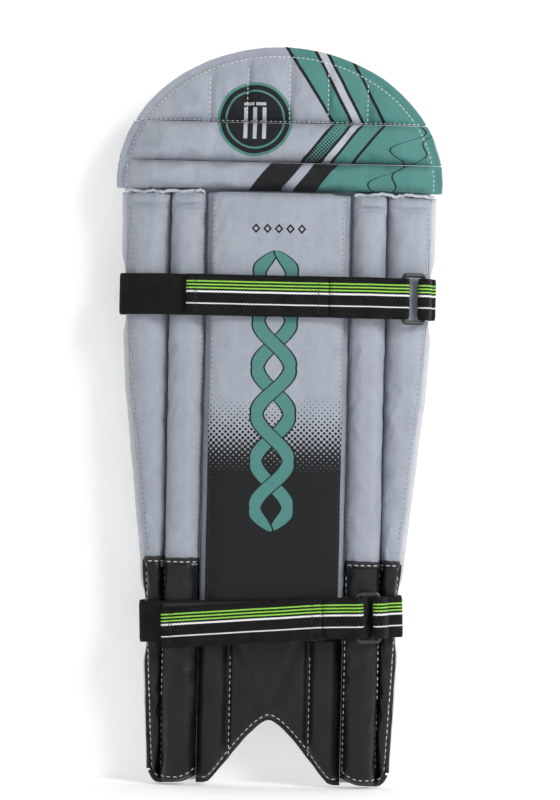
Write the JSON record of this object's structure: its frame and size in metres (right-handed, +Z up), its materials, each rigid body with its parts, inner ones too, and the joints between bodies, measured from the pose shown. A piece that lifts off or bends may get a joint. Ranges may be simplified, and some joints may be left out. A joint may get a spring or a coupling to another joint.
{
  "type": "cricket leg pad",
  "caption": "Padded leg guard with a domed knee section, stuffed shin rolls, a centre panel, a vinyl instep and two ring-and-loop straps.",
  "frame": {"origin": "middle of the pad in plan, at the level of its lowest point", "axes": "+Z up the leg, -Y out of the front, +X towards the strap rings, which is the right side as seen from the front"},
  "size_m": [0.288, 0.0588, 0.65],
  "materials": {
    "grey_cloth": "fine woven polyester, matt",
    "black_vinyl": "coated vinyl, semi-gloss",
    "binding_tape": "folded cloth tape, matt",
    "pale_lining": "soft brushed cloth, matt",
    "foam": "open-cell foam, matt",
    "wadding": "loose fibre wadding, matt",
    "cane": "bare split cane",
    "webbing": "woven nylon webbing with lime and white stripes",
    "hook_tape": "hook-and-loop tape, matt",
    "ring_plastic": "moulded, semi-gloss"
  },
  "bodies": {
    "shin_centre": {"cane_pocket": "grey_cloth", "cane_rods": "cane", "centre_panel_cover": "grey_cloth", "centre_panel_foam": "foam", "instep_cover": "black_vinyl", "instep_foam": "foam", "lower_strap_fold_run": "webbing", "lower_strap_middle": "webbing", "middle_backing": "pale_lining", "shin_lining": "pale_lining", "upper_strap_fold_run": "webbing", "upper_strap_middle": "webbing"},
    "left_wing": {"left_anchor_patches": "webbing", "left_bolster_cover": "pale_lining", "left_bolster_wadding": "wadding", "left_edge_binding": "binding_tape", "left_inner_roll_core": "wadding", "left_inner_roll_cover": "grey_cloth", "left_inner_vinyl_cap": "black_vinyl", "left_outer_roll_core": "wadding", "left_outer_roll_cover": "grey_cloth", "left_outer_vinyl_cap": "black_vinyl", "left_wing_backing": "pale_lining", "lower_strap_left": "webbing", "upper_strap_left": "webbing"},
    "right_wing": {"lower_strap_right": "webbing", "lower_tab": "webbing", "right_anchor_patches": "webbing", "right_bolster_cover": "pale_lining", "right_bolster_wadding": "wadding", "right_edge_binding": "binding_tape", "right_inner_roll_core": "wadding", "right_inner_roll_cover": "grey_cloth", "right_inner_vinyl_cap": "black_vinyl", "right_outer_roll_core": "wadding", "right_outer_roll_cover": "grey_cloth", "right_outer_vinyl_cap": "black_vinyl", "right_wing_backing": "pale_lining", "upper_strap_right": "webbing", "upper_tab": "webbing"},
    "lower_knee_row": {"lower_knee_roll_backing": "pale_lining", "lower_knee_roll_core": "wadding", "lower_knee_roll_cover": "grey_cloth"},
    "upper_knee_row": {"knee_bolster": "pale_lining", "upper_knee_roll_backing": "pale_lining", "upper_knee_roll_core": "wadding", "upper_knee_roll_cover": "grey_cloth"},
    "top_hat": {"top_hat_backing": "pale_lining", "top_hat_binding": "binding_tape", "top_hat_core": "wadding", "top_hat_cover": "grey_cloth"},
    "upper_tail": {"upper_hook_patch": "hook_tape", "upper_tail": "webbing"},
    "lower_tail": {"lower_hook_patch": "hook_tape", "lower_tail": "webbing"},
    "upper_ring": {"upper_ring": "ring_plastic"},
    "lower_ring": {"lower_ring": "ring_plastic"}
  },
  "joints": [
    {"name": "left_wing_fold", "type": "hinge", "parent": "shin_centre", "child": "left_wing", "pos_m": [-0.064, 0.00457, 0.26], "axis": [0, 0, -1], "range_deg": [0, 30], "stiffness_Nm_per_rad": 3},
    {"name": "right_wing_fold", "type": "hinge", "parent": "shin_centre", "child": "right_wing", "pos_m": [0.064, 0.00457, 0.26], "axis": [0, 0, 1], "range_deg": [0, 30], "stiffness_Nm_per_rad": 3},
    {"name": "lower_knee_fold", "type": "hinge", "parent": "shin_centre", "child": "lower_knee_row", "pos_m": [0, 0.00457, 0.523], "axis": [-1, 0, 0], "range_deg": [0, 20], "stiffness_Nm_per_rad": 3},
    {"name": "upper_knee_fold", "type": "hinge", "parent": "lower_knee_row", "child": "upper_knee_row", "pos_m": [0, 0.00457, 0.548], "axis": [-1, 0, 0], "range_deg": [0, 20], "stiffness_Nm_per_rad": 3},
    {"name": "top_hat_fold", "type": "hinge", "parent": "upper_knee_row", "child": "top_hat", "pos_m": [0, 0.00457, 0.583], "axis": [-1, 0, 0], "range_deg": [0, 20], "stiffness_Nm_per_rad": 3},
    {"name": "upper_strap_peel", "type": "hinge", "parent": "shin_centre", "child": "upper_tail", "pos_m": [0.045, -0.02513, 0.43], "axis": [0, 0, 1], "range_deg": [0, 150]},
    {"name": "lower_strap_peel", "type": "hinge", "parent": "shin_centre", "child": "lower_tail", "pos_m": [0.045, -0.02513, 0.14873], "axis": [-0.0384, 0, 0.9993], "range_deg": [0, 150]},
    {"name": "upper_ring_tilt", "type": "hinge", "parent": "right_wing", "child": "upper_ring", "pos_m": [0.12799, -0.01323, 0.43], "axis": [0, 0, 1], "range_deg": [-4, 4]},
    {"name": "lower_ring_tilt", "type": "hinge", "parent": "right_wing", "child": "lower_ring", "pos_m": [0.09436, -0.02287, 0.15062], "axis": [-0.0384, 0, 0.9993], "range_deg": [-4, 4]}
  ],
  "couplings": [
    {"joint": "upper_knee_fold", "follows": "lower_knee_fold", "ratio": 1},
    {"joint": "top_hat_fold", "follows": "lower_knee_fold", "ratio": 1}
  ]
}
